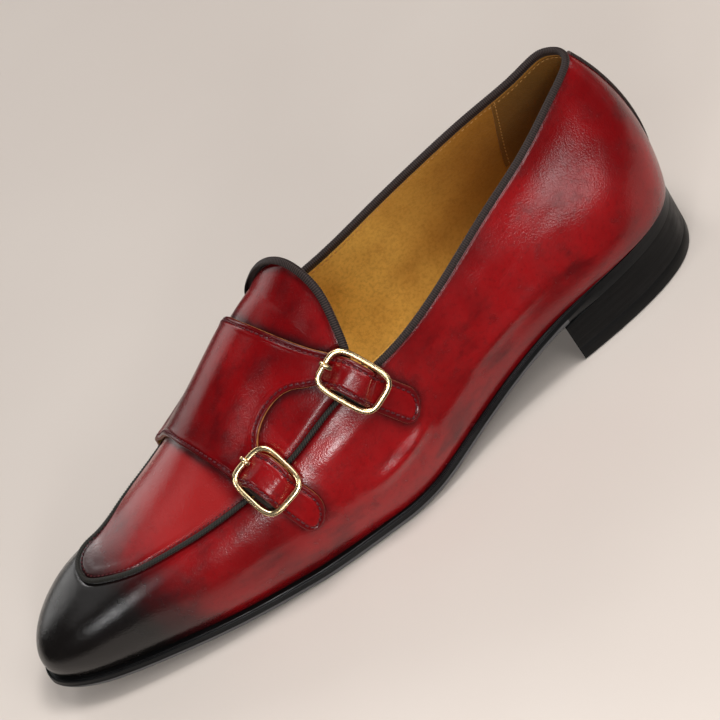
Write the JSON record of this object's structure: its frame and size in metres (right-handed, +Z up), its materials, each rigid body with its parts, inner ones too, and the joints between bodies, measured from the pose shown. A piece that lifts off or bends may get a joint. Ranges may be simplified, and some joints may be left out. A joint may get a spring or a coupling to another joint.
{
  "type": "monk-strap loafer",
  "caption": "Low slip-on dress shoe in burnished dark red leather with a piped apron, a forked band over the instep held by small gold buckles, and a low stacked heel",
  "frame": {"origin": "middle of the shoe's bounding box, on the floor plane that the heel and the ball of the sole stand on", "axes": "+X runs from the heel to the toe, +Y to the outer side with the buckles, +Z up"},
  "size_m": [0.2976, 0.097, 0.0996],
  "materials": {
    "upper_leather": "burnished, semi-gloss, darkened at the toe",
    "strap_leather": "burnished, semi-gloss, edge-stitched",
    "insole_lining": "soft matte lining leather",
    "sole_leather": "black edge dressing, satin",
    "heel_leather": "stacked lifts, black edge dressing",
    "heel_rubber": "matte",
    "ribbon_brown": "ribbed ribbon",
    "piping_black": "ribbed piping",
    "buckle_gold": "polished pale gold plating"
  },
  "bodies": {
    "root": {"upper": "upper_leather", "outsole": "sole_leather", "insole": "insole_lining", "heel_stack": "heel_leather", "heel_top_piece": "heel_rubber", "monk_band": "strap_leather", "upper_buckle": "buckle_gold", "upper_prong": "buckle_gold", "lower_buckle": "buckle_gold", "lower_prong": "buckle_gold", "collar_binding": "ribbon_brown", "tongue_binding": "ribbon_brown", "apron_piping": "piping_black", "back_seam_piping": "ribbon_brown"}
  },
  "joints": []
}
